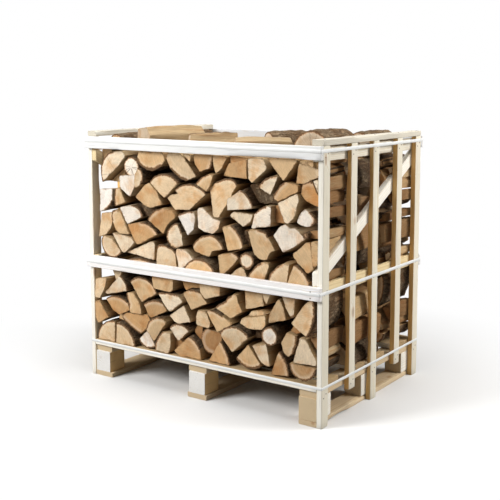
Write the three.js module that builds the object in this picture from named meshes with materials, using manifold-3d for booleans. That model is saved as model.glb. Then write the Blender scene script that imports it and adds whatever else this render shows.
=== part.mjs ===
// Slatted softwood crate on pallet legs, stacked full of split oak firewood.
// Millimetres, +Z up. The front, where the log ends show, faces -Y and the long side runs along X.
// The origin is on the floor, under the middle of the crate.

import * as THREE from 'three';
import { mergeVertices } from 'three/addons/utils/BufferGeometryUtils.js';
import Module from 'manifold-3d';

const wasm = await Module();
wasm.setup();

// Overall size: across the straps, front to back over the boards, floor to rail top.
const WIDTH = 1150;
const DEPTH = 850;
const HEIGHT = 1050;
const GAP = 0.3;

// Plastic straps: thickness, and the lower edge and height of each.
const STRAP_T = 0.9;
const STRAPS = { bottom: [145, 11], middle: [493, 13], top: [1004, 13] };

// Side frames: slats, posts and inner boards are all cut from one 48 x 22 section.
const SLAT_W = 48;
const SLAT_T = 22;
const SIDE_X = WIDTH / 2 - STRAP_T - GAP;
const POST_Y = [-381, 0, 381];
const SHORT_SLAT_Y = [-177, 207];
const SHORT_SLAT_FOOT = 92;
const POST_HALF_SPAN = 405;
const INNER_MID_Z = 476;
const INNER_TOP_Z = 970;
const BRACE_RISE = 0.507;
const BRACE_FOOT = [-312, 564];

// Boards nailed across the front and the back.
const BOARD_T = 18.5;
const BOARD_H = 50;
const BOARD_MID_Z = 474;
const BOARD_TOP_Z = 978;

// Pallet: runner, blocks and stringer of each leg, then the deck. A stringer lies over its runner,
// drawn in by stringerIn at its left and right edges.
const RUNNER_T = 20;
const STRINGER_Z = [108, 132];
const DECK_Z = [133, 156];
const LEGS = [
  { name: 'left', runner: [-551.5, -457], stringerIn: [0, 6], block: [-548, -470], length: 90, middle: 0 },
  { name: 'middle', runner: [-48, 48], stringerIn: [3, 3], block: [-40, 40], length: 90, middle: 0 },
  { name: 'right', runner: [475, 551.5], stringerIn: [0, 0], block: [475, 551.5], length: 104, middle: -8 },
];
const DECK_BOARD_W = 78;
const DECK_BOARD_Y = [-366, -282, -68, 99, 287, 366];

// Firewood rows: the log length leaves a little room between the front, middle and rear rows.
const LOG_LENGTH = 258;
const FRONT_END = -395;
const CORE_SETBACK = 50;
const CORE_X = 528;
const CORE_TOP = 945;
const STACK_X = 550.5;

// Where the stack's top is levelled off: the middle and rear rows, and the front row, which
// reaches up behind the front top board.
const FLAT_TOP = 962;
const FRONT_TOP = 982;

// Ends of the split logs seen from the front, each a closed outline turning anticlockwise:
// [x, z] corners, with a third number where the edge that starts there is a bark arc of that rise.
// Heights are on the front view's own scale, and LOG_Z turns them into millimetres.
const LOG_Z = 0.987;
const LOGS = {
  a01: [[-548, 159], [-446, 159], [-448, 250, 30]],
  a02: [[-434, 159], [-326, 159, 28], [-434, 248]],
  a03: [[-318, 190, 22], [-226, 174], [-270, 238]],
  a04: [[-220, 165], [-150, 159], [-140, 172], [-134, 250], [-178, 248, 10]],
  a05: [[-125, 176], [-98, 160], [16, 160], [10, 205], [-45, 250]],
  a06: [[-150, 270], [-103, 218], [-45, 272, 20]],
  a07: [[-225, 198], [-156, 290], [-172, 304, 24], [-267, 246]],
  a08: [[-408, 272], [-312, 216], [-268, 246], [-253, 283], [-268, 302], [-385, 297]],
  a09: [[-492, 346], [-450, 297], [-418, 283], [-360, 310], [-372, 345, 18]],
  a10: [[-358, 300], [-292, 303], [-302, 345], [-338, 392], [-376, 384], [-360, 335]],
  a11: [[-360, 436], [-302, 352], [-216, 402, 40]],
  a12: [[-492, 372], [-480, 366], [-366, 394, 8], [-405, 458]],
  a13: [[-462, 480], [-437, 429], [-405, 462], [-403, 482]],
  a14: [[-549, 345], [-518, 345], [-485, 395], [-474, 437], [-538, 430]],
  a15: [[-549, 325], [-546, 250], [-532, 232], [-468, 268], [-525, 333]],
  a17: [[-290, 346], [-265, 305], [-250, 291], [-162, 334], [-190, 368, 12]],
  a18: [[-200, 408], [-163, 355], [-138, 336], [-72, 388], [-100, 411, 5]],
  a19: [[-146, 320], [-120, 298], [-98, 291], [-34, 309], [-68, 373]],
  a20: [[-77, 422], [-36, 357], [44, 394], [8, 436], [-45, 440]],
  a21: [[-235, 490], [-225, 424], [-135, 418], [-118, 432], [-118, 490]],
  a22: [[-104, 486], [-72, 430], [-40, 446], [6, 449], [8, 486]],
  a23: [[12, 486], [12, 440], [34, 412], [110, 436], [114, 486]],
  a24: [[86, 388], [164, 355], [222, 390], [198, 424], [192, 452], [164, 446], [140, 418]],
  a25: [[220, 486], [228, 399], [312, 422], [300, 486]],
  a26: [[303, 488], [330, 431], [356, 488]],
  a27: [[336, 362], [412, 382], [395, 445], [380, 462], [338, 395]],
  a28: [[388, 488], [410, 428], [432, 394], [445, 402], [452, 488]],
  a29: [[440, 378], [510, 334, 16], [534, 488], [500, 462]],
  a30: [[238, 374], [290, 380], [332, 396], [300, 404], [252, 394]],
  a31: [[205, 342], [250, 327], [308, 330], [326, 352], [322, 388], [218, 365]],
  a32: [[305, 311, 37], [379, 311, 37]],
  a33: [[388, 292], [400, 255], [420, 243], [440, 262], [456, 330], [412, 336]],
  a34: [[450, 230], [546, 232], [548, 250], [505, 325], [478, 330]],
  a35: [[434, 226, 56], [549, 224]],
  a36: [[346, 162], [428, 170, 10], [385, 262], [368, 225]],
  a37: [[264, 264], [306, 203], [346, 194], [338, 245], [328, 279], [292, 268]],
  a38: [[240, 262], [180, 194, 24], [300, 184]],
  a39: [[112, 288], [168, 218], [250, 292, 36]],
  a40: [[42, 366], [95, 286], [172, 333], [120, 358], [62, 374]],
  a41: [[-10, 300], [56, 297], [60, 322], [38, 360], [-4, 363], [-12, 330]],
  a42: [[34, 292, 42], [62, 187], [108, 250], [108, 278]],
  a43: [[46, 162], [155, 162, 8], [108, 254]],
  b01: [[-505, 618, 60], [-400, 556], [-450, 608]],
  b02: [[-452, 634], [-392, 555], [-378, 556], [-325, 605], [-345, 626], [-410, 632]],
  b03: [[-376, 558], [-228, 538], [-226, 608], [-240, 618]],
  b04: [[-372, 524], [-340, 484], [-240, 482], [-212, 522, 18]],
  b05: [[-214, 540], [-205, 495], [-106, 495], [-113, 583], [-150, 603], [-190, 608], [-206, 598]],
  b06: [[-102, 560], [-96, 510], [-18, 566], [-60, 600], [-104, 603], [-111, 583]],
  b07: [[-68, 522], [-30, 484], [50, 484], [88, 534, 46]],
  b08: [[97, 597], [106, 510], [124, 523], [190, 588], [192, 597], [170, 612]],
  b09: [[150, 520], [170, 484], [222, 484], [232, 522], [220, 553], [205, 561], [185, 552]],
  b10: [[240, 520], [262, 490], [300, 490], [338, 580], [334, 592], [300, 590, 8]],
  b11: [[326, 520], [345, 490], [405, 490], [426, 597], [388, 594, 10]],
  b12: [[420, 520], [435, 490], [505, 490], [516, 545, 8], [450, 602]],
  b13: [[522, 562], [527, 524], [549, 524], [549, 574]],
  b14: [[440, 636], [456, 612], [506, 572], [530, 588], [516, 692], [498, 686]],
  b15: [[526, 598], [549, 606], [549, 694], [521, 692]],
  b16: [[352, 698], [378, 662], [394, 637], [440, 660], [490, 697], [442, 738], [426, 730],
    [402, 747], [374, 728]],
  b17: [[486, 713, 12], [510, 713, 12]],
  b18: [[242, 704], [266, 622], [292, 602], [326, 600], [342, 636], [364, 640], [332, 690, 10],
    [290, 712], [252, 712]],
  b19: [[199, 588, 32], [269, 590, 31]],
  b20: [[128, 712], [152, 618], [216, 634], [226, 650, 8], [170, 722]],
  b21: [[-16, 597], [54, 583], [66, 607], [126, 621, 8], [74, 671, 16], [-30, 622]],
  b22: [[-155, 645, 10], [-112, 602], [-68, 618], [-76, 670, 8], [-108, 706, 10]],
  b23: [[-98, 738], [-46, 660], [-14, 690], [-4, 735], [-18, 762, 4]],
  b24: [[3, 695], [38, 680], [72, 677], [98, 700], [108, 731], [72, 738], [50, 756], [18, 778],
    [-2, 772]],
  b25: [[-250, 708], [-166, 655], [-148, 690], [-100, 733], [-118, 754], [-175, 762, 10]],
  b26: [[-410, 746], [-368, 677], [-286, 715, 14], [-345, 761]],
  b27: [[-366, 678], [-345, 635], [-320, 597], [-300, 600], [-202, 652, 12], [-290, 693]],
  b28: [[-448, 722], [-446, 690], [-424, 648], [-400, 635], [-350, 637], [-400, 728], [-430, 735]],
  b29: [[-538, 606], [-492, 622], [-460, 660], [-452, 722], [-518, 712]],
  b30: [[-520, 718], [-486, 730], [-446, 768], [-440, 824], [-512, 818]],
  b31: [[-434, 750], [-376, 770], [-405, 826], [-432, 825]],
  b32: [[-414, 880], [-408, 828], [-352, 794], [-322, 848], [-318, 888]],
  b33: [[-320, 855], [-312, 833], [-285, 850], [-270, 885, 6], [-298, 920], [-316, 893]],
  b34: [[-388, 918, 43], [-302, 920, 43]],
  b35: [[-503, 849], [-403, 926], [-368, 965], [-385, 985], [-440, 980, 36]],
  b36: [[-306, 952, 28], [-182, 928], [-160, 955], [-170, 1000], [-285, 1004]],
  b37: [[-160, 965], [-134, 918, 6], [-60, 878], [-8, 898], [-90, 998], [-140, 1000]],
  b38: [[-80, 1000], [-28, 955], [-22, 1000]],
  b39: [[-16, 1000], [-14, 955], [14, 917], [62, 935], [72, 960], [66, 1002]],
  b40: [[72, 1000], [80, 945], [90, 914], [118, 935], [150, 990], [120, 1008]],
  b41: [[132, 910], [243, 905], [240, 978], [158, 960]],
  b42: [[152, 1002], [160, 954], [240, 964], [238, 1010]],
  b43: [[244, 1000], [246, 905], [262, 888], [330, 948], [306, 1005]],
  b44: [[320, 1000], [356, 955], [400, 904], [462, 985], [440, 1008]],
  b45: [[450, 900], [480, 900], [549, 928], [549, 952], [520, 968], [462, 974]],
  b46: [[468, 1000], [472, 978], [528, 962], [530, 1000], [510, 1012]],
  b47: [[286, 875], [340, 850], [373, 918], [360, 925], [310, 903]],
  b48: [[350, 838], [374, 828], [462, 868], [466, 895], [402, 903]],
  b49: [[376, 822], [412, 750], [424, 750], [452, 778], [470, 840], [462, 864]],
  b50: [[472, 862], [492, 838], [548, 818], [549, 850], [516, 910], [478, 900]],
  b51: [[526, 916], [549, 870], [549, 920]],
  b52: [[455, 755], [492, 742], [522, 750], [538, 772], [512, 800], [490, 808], [470, 790]],
  b53: [[58, 857], [78, 745], [104, 742], [166, 838], [190, 880, 6], [150, 900], [92, 884]],
  b54: [[0, 869], [52, 843], [66, 862], [88, 914], [60, 912]],
  b55: [[-156, 803], [-118, 758], [-44, 762], [44, 834, 30], [-116, 840], [-101, 823], [-138, 820]],
  b56: [[-166, 803], [-88, 868, 34], [-243, 864], [-205, 832]],
  b57: [[-320, 796], [-272, 765], [-236, 756], [-172, 775], [-204, 830], [-243, 862], [-272, 845]],
  b58: [[153, 756], [214, 718], [252, 740], [262, 770], [172, 775]],
  b59: [[150, 778], [262, 792], [270, 802], [216, 862], [150, 822]],
  b60: [[256, 717], [343, 731], [343, 808], [318, 806], [272, 778]],
};

// Logs that stand out of the stack or sit back in it, mm from the row's common end plane.
const STANDING_OUT = { a14: 14, a15: 12, a35: 9, a29: 8, a42: -16, a22: -18, b08: -8, b09: -10 };

// Loose logs laid over the stack: centre [x, y], foot height, heading, length and section.
// A section is an outline like those above, across and up from the middle of the log's foot.
const HEAP = {
  split_log_large: { at: [-238, -262], foot: 983, turn: 64, length: 250,
    section: [[-60, 0], [58, 0], [70, 58], [34, 88], [-50, 78]] },
  bark_log_left: { at: [-420, -250], foot: 983, turn: 80, length: 250,
    section: [[-50, 0], [50, 0, 56]] },
  split_log_middle: { at: [-20, -262], foot: 983, turn: 44, length: 190,
    section: [[-48, 0], [50, 0], [30, 66, 5], [-34, 52]] },
  split_log_front: { at: [226, -268], foot: 983, turn: 38, length: 215,
    section: [[-46, 0], [46, 0], [42, 44], [-22, 58]] },
  bark_log_middle: { at: [204, -58], foot: 983, turn: 56, length: 170,
    section: [[-66, 0], [66, 0, 72]] },
  bark_log_right: { at: [434, -140], foot: 983, turn: 89, length: 232,
    section: [[-86, 0], [86, 0, 89]] },
  bark_log_corner: { at: [452, 196], foot: 963, turn: 84, length: 195,
    section: [[-62, 0], [62, 0, 90]] },
  split_log_rear: { at: [-428, 30], foot: 963, turn: 76, length: 258,
    section: [[-62, 0], [60, 0], [50, 42], [-10, 74], [-48, 44]] },
  bark_log_rear: { at: [-266, -80], foot: 983, turn: 64, length: 170,
    section: [[-40, 0], [40, 0, 66]] },
};

const group = new THREE.Group();

// One material per mesh; colour, roughness.
const material = (color, roughness) =>
  new THREE.MeshStandardMaterial({ color, roughness, metalness: 0 });
const SPRUCE = [0xe9dcc3, 0.75];
const SPRUCE_DARK = [0xc2a67c, 0.8];
const OAK = [0xcfae80, 0.85];
const BARK = [0x6f5d4b, 0.95];
const PLASTIC = [0xf0f0ee, 0.45];

function addMesh(parent, name, geometry, look) {
  const mesh = new THREE.Mesh(geometry, material(...look));
  mesh.name = name;
  parent.add(mesh);
  return mesh;
}

// A board between two corners, given as spans on X, Y and Z.
function addBoard(parent, name, x, y, z, look = SPRUCE) {
  const mesh = addMesh(parent, name,
    new THREE.BoxGeometry(x[1] - x[0], y[1] - y[0], z[1] - z[0]), look);
  mesh.position.set((x[0] + x[1]) / 2, (y[0] + y[1]) / 2, (z[0] + z[1]) / 2);
  return mesh;
}

const span = (centre, width) => [centre - width / 2, centre + width / 2];

// Points of an outline, with every bark arc broken into chords.
function outlinePoints(outline, zScale = 1) {
  const points = [];
  outline.forEach(([x, z, rise = 0], i) => {
    const [nextX, nextZ] = outline[(i + 1) % outline.length];
    points.push(new THREE.Vector2(x, z * zScale));
    if (!rise) return;
    const dx = nextX - x;
    const dz = nextZ - z;
    const chord = Math.hypot(dx, dz);
    const radius = rise / 2 + chord * chord / (8 * rise);
    const half = Math.asin(Math.min(1, chord / (2 * radius)));
    const steps = rise > 30 ? 5 : rise > 14 ? 3 : 2;
    for (let k = 1; k < steps; k += 1) {
      const angle = half * (2 * k / steps - 1);
      const along = 0.5 + radius * Math.sin(angle) / chord;
      const out = radius * Math.cos(angle) - radius + rise;
      points.push(new THREE.Vector2(x + dx * along + out * dz / chord,
        (z + dz * along - out * dx / chord) * zScale));
    }
  });
  return points;
}

// A prism over a front-view outline (x, z), running along Y between two depths.
function prismAlongY(points, y0, y1) {
  const geometry = new THREE.ExtrudeGeometry(new THREE.Shape(points),
    { depth: y1 - y0, bevelEnabled: false });
  geometry.rotateX(Math.PI / 2);
  geometry.translate(0, y1, 0);
  return geometry;
}

// A prism over a side-view outline (y, z), running along X between two planes.
function prismAlongX(points, x0, x1) {
  const geometry = new THREE.ExtrudeGeometry(new THREE.Shape(points),
    { depth: x1 - x0, bevelEnabled: false });
  geometry.rotateX(Math.PI / 2);
  geometry.rotateZ(Math.PI / 2);
  geometry.translate(x0, 0, 0);
  return geometry;
}

function toManifold(geometry) {
  const bare = geometry.clone();
  bare.deleteAttribute('normal');
  bare.deleteAttribute('uv');
  const merged = mergeVertices(bare, 1e-3);
  return new wasm.Manifold(new wasm.Mesh({
    numProp: 3,
    vertProperties: new Float32Array(merged.attributes.position.array),
    triVerts: new Uint32Array(merged.index.array),
  }));
}

function toGeometry(solid) {
  const mesh = solid.getMesh();
  const geometry = new THREE.BufferGeometry();
  geometry.setAttribute('position', new THREE.BufferAttribute(mesh.vertProperties, 3));
  geometry.setIndex(new THREE.BufferAttribute(mesh.triVerts, 1));
  geometry.computeVertexNormals();
  return geometry;
}

function boxManifold(x, y, z) {
  const geometry = new THREE.BoxGeometry(x[1] - x[0], y[1] - y[0], z[1] - z[0]);
  geometry.translate((x[0] + x[1]) / 2, (y[0] + y[1]) / 2, (z[0] + z[1]) / 2);
  return toManifold(geometry);
}

// Pallet legs: a runner on the floor, three blocks on it and a stringer over them.
const LEG_END = POST_HALF_SPAN - 2;
for (const leg of LEGS) {
  addBoard(group, `runner_${leg.name}`, leg.runner, [-LEG_END, LEG_END], [0, RUNNER_T],
    SPRUCE_DARK);
  const half = leg.length / 2;
  const blockY = { front: half - LEG_END, middle: leg.middle, rear: LEG_END - half };
  for (const [place, y] of Object.entries(blockY)) {
    addBoard(group, `block_${leg.name}_${place}`, leg.block, span(y, leg.length),
      [RUNNER_T + GAP, STRINGER_Z[0] - GAP]);
  }
  const [x0, x1] = leg.runner;
  const [inLeft, inRight] = leg.stringerIn;
  addBoard(group, `stringer_${leg.name}`, [x0 + inLeft, x1 - inRight], [6 - LEG_END, LEG_END - 6],
    STRINGER_Z);
}

// Deck boards, laid across the stringers.
const SLAT_INNER_X = SIDE_X - SLAT_T;
const DECK_X = SLAT_INNER_X - GAP;
DECK_BOARD_Y.forEach((y, i) => {
  addBoard(group, `deck_board_${i + 1}`, [-DECK_X, DECK_X], span(y, DECK_BOARD_W), DECK_Z,
    SPRUCE_DARK);
});

// The brace runs up from the middle inner board at the front to the upper one at the back.
function braceOutline(grow = 0) {
  const [footY, footZ] = BRACE_FOOT;
  const rise = SLAT_W * Math.hypot(1, BRACE_RISE);
  const low = (y) => footZ + BRACE_RISE * (y - footY) - grow;
  const high = (y) => low(y) + rise + 2 * grow;
  const end = LEG_END + grow;
  const floor = INNER_MID_Z + SLAT_W + GAP;
  const ceiling = INNER_TOP_Z - GAP;
  return [
    [footY + (floor + grow - footZ) / BRACE_RISE, floor], [end, low(end)], [end, ceiling],
    [footY + (ceiling - grow - rise - footZ) / BRACE_RISE, ceiling], [-end, high(-end)], [-end, floor],
  ].map(([y, z]) => new THREE.Vector2(y, z));
}

// Side frame, built for the right side; the left one is the same frame turned half round.
const INNER_X = [SLAT_INNER_X - GAP - SLAT_T, SLAT_INNER_X - GAP];
for (const side of ['right', 'left']) {
  const frame = new THREE.Group();
  if (side === 'left') frame.rotation.z = Math.PI;
  group.add(frame);
  const slatX = [SLAT_INNER_X, SIDE_X];
  const slatTop = HEIGHT - SLAT_T - GAP;
  POST_Y.forEach((y, i) => addBoard(frame, `post_${side}_${i + 1}`, slatX, span(y, SLAT_W),
    [0, slatTop]));
  SHORT_SLAT_Y.forEach((y, i) => addBoard(frame, `slat_${side}_${i + 1}`, slatX, span(y, SLAT_W),
    [SHORT_SLAT_FOOT, slatTop]));
  addBoard(frame, `inner_board_middle_${side}`, INNER_X, [-LEG_END, LEG_END],
    [INNER_MID_Z, INNER_MID_Z + SLAT_W]);
  addBoard(frame, `inner_board_top_${side}`, INNER_X, [-LEG_END, LEG_END],
    [INNER_TOP_Z, INNER_TOP_Z + SLAT_W]);
  addMesh(frame, `brace_${side}`, prismAlongX(braceOutline(), ...INNER_X), SPRUCE);
  addBoard(frame, `rail_${side}`, [SIDE_X - SLAT_W, SIDE_X], [-POST_HALF_SPAN, POST_HALF_SPAN],
    [HEIGHT - SLAT_T, HEIGHT]);
}

// Boards across the front and the back of the side frames.
const BOARD_Y = POST_HALF_SPAN + GAP;
for (const [face, sign] of [['front', -1], ['rear', 1]]) {
  for (const [level, z] of [['middle', BOARD_MID_Z], ['top', BOARD_TOP_Z]]) {
    const y = [sign * BOARD_Y, sign * (BOARD_Y + BOARD_T)].sort((a, b) => a - b);
    addBoard(group, `board_${face}_${level}`, [-SIDE_X, SIDE_X], y, [z, z + BOARD_H]);
  }
}

// Straps: flat plastic bands drawn tight round the whole crate.
for (const [level, [z, height]] of Object.entries(STRAPS)) {
  const halfX = WIDTH / 2;
  const halfY = level === 'bottom' ? POST_HALF_SPAN + GAP + STRAP_T : DEPTH / 2;
  const band = new THREE.Shape([[1, 1], [-1, 1], [-1, -1], [1, -1]]
    .map(([sx, sy]) => new THREE.Vector2(sx * halfX, sy * halfY)));
  band.holes.push(new THREE.Path([[1, 1], [1, -1], [-1, -1], [-1, 1]]
    .map(([sx, sy]) => new THREE.Vector2(sx * (halfX - STRAP_T), sy * (halfY - STRAP_T)))));
  const mesh = addMesh(group, `strap_${level}`,
    new THREE.ExtrudeGeometry(band, { depth: height, bevelEnabled: false }), PLASTIC);
  mesh.position.z = z;
}

// What the stack has to stay clear of at the sides: the inner boards and the brace of each frame.
function sideClearance() {
  const reach = [INNER_X[0] - 1, WIDTH];
  const halfY = [-WIDTH, WIDTH];
  const right = toManifold(prismAlongX(braceOutline(1), ...reach))
    .add(boxManifold(reach, halfY, span(INNER_MID_Z + SLAT_W / 2, SLAT_W + 2)))
    .add(boxManifold(reach, halfY, span(INNER_TOP_Z + SLAT_W / 2, SLAT_W + 2)));
  return right.add(right.rotate([0, 0, 180]));
}

// A row of firewood is one body with the form of its stack: a core, with every log that shows at
// an end, a flank or the top standing out of it over the log's own outline.
function firewoodRow({ y, face, mirror = 1, top }) {
  const [y0, y1] = y;
  const coreY = [face < 0 ? y0 + CORE_SETBACK : y0, face > 0 ? y1 - CORE_SETBACK : y1];
  let row = boxManifold([-CORE_X, CORE_X], coreY, [DECK_Z[1] + GAP, CORE_TOP]);
  Object.entries(LOGS).forEach(([name, outline], i) => {
    const points = outlinePoints(outline, LOG_Z);
    if (mirror < 0) points.forEach((p) => { p.x = -p.x; });
    if (mirror < 0) points.reverse();
    const atEdge = points.some((p) => Math.abs(p.x) > CORE_X || p.y > CORE_TOP);
    if (!face && !atEdge) return;
    const out = STANDING_OUT[name] ?? 7 * Math.sin(2.4 * i);
    const end = [face < 0 ? y0 - out : y0, face > 0 ? y1 + out : y1];
    row = row.add(toManifold(prismAlongY(points, ...end)));
  });
  const room = boxManifold([-STACK_X, STACK_X], [-DEPTH, DEPTH], [DECK_Z[1] + GAP, top]);
  return row.intersect(room).subtract(sideClearance());
}

const rows = {
  front: { y: [FRONT_END, FRONT_END + LOG_LENGTH], face: -1, top: FRONT_TOP },
  middle: { y: span(0, LOG_LENGTH), face: 0, mirror: -1, top: FLAT_TOP },
  rear: { y: [-FRONT_END - LOG_LENGTH, -FRONT_END], face: 1, top: FLAT_TOP },
};
for (const [name, row] of Object.entries(rows)) {
  addMesh(group, `firewood_${name}`, toGeometry(firewoodRow(row)), OAK);
}

// Loose logs on top of the stack.
for (const [name, { at, foot, turn, length, section }] of Object.entries(HEAP)) {
  const mesh = addMesh(group, name, prismAlongY(outlinePoints(section), -length / 2, length / 2),
    name.startsWith('bark') ? BARK : OAK);
  mesh.position.set(at[0], at[1], foot);
  mesh.rotation.z = THREE.MathUtils.degToRad(turn - 90);
}

export default group;
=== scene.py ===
"""A slatted softwood crate on pallet legs, stacked full of split oak firewood.

Metres, in the crate's own frame: the front, where the log ends show, faces -Y, and the long
side runs along X. Tables and working sizes of the wood are in millimetres, through MM.
"""
import math
from itertools import product

import bmesh
import bpy
import numpy as np
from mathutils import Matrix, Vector
from mathutils.geometry import delaunay_2d_cdt


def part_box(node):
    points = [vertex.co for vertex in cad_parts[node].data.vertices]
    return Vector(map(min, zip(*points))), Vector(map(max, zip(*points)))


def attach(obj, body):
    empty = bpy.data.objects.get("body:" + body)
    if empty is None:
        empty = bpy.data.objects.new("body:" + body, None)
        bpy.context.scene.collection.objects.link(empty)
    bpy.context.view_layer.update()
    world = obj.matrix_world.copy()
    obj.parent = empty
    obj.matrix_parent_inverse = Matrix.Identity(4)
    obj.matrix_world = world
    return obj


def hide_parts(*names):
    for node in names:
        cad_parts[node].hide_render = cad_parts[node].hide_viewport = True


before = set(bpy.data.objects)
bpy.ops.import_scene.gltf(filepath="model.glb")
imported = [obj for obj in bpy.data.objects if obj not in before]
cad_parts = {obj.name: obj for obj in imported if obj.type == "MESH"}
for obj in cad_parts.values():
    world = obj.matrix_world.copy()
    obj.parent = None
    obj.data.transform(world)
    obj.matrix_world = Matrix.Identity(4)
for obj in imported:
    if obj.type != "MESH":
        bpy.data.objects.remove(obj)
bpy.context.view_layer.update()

MM = 0.001


# Colours

def rgb(red, green, blue):
    """A linear colour from its sRGB numbers, 0 to 255."""
    def linear(c):
        return c / 12.92 if c <= 0.04045 else ((c + 0.055) / 1.055) ** 2.4
    return tuple(linear(c / 255) for c in (red, green, blue)) + (1.0,)


OAK_TINTS = {
    "white": rgb(227, 216, 202), "pale": rgb(220, 201, 174), "cream": rgb(212, 186, 151),
    "tan": rgb(203, 171, 130), "orange": rgb(192, 153, 108), "brown": rgb(160, 122, 82),
    "straw": rgb(178, 160, 138),
}
BARK_DARK = rgb(62, 43, 28)
BARK_BROWN = rgb(124, 96, 68)
BARK_GREY = rgb(152, 131, 104)
INNER_BARK = rgb(172, 122, 76)
SPRUCE_TINTS = {
    "white": rgb(240, 241, 242), "cream": rgb(230, 224, 208), "warm": rgb(232, 212, 170),
    "bright": rgb(244, 241, 232), "light": rgb(244, 233, 208), "pearl": rgb(226, 228, 231),
    "gold": rgb(222, 190, 140), "beige": rgb(214, 193, 160), "tan": rgb(186, 160, 122),
    "dull": rgb(208, 203, 190),
}


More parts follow.
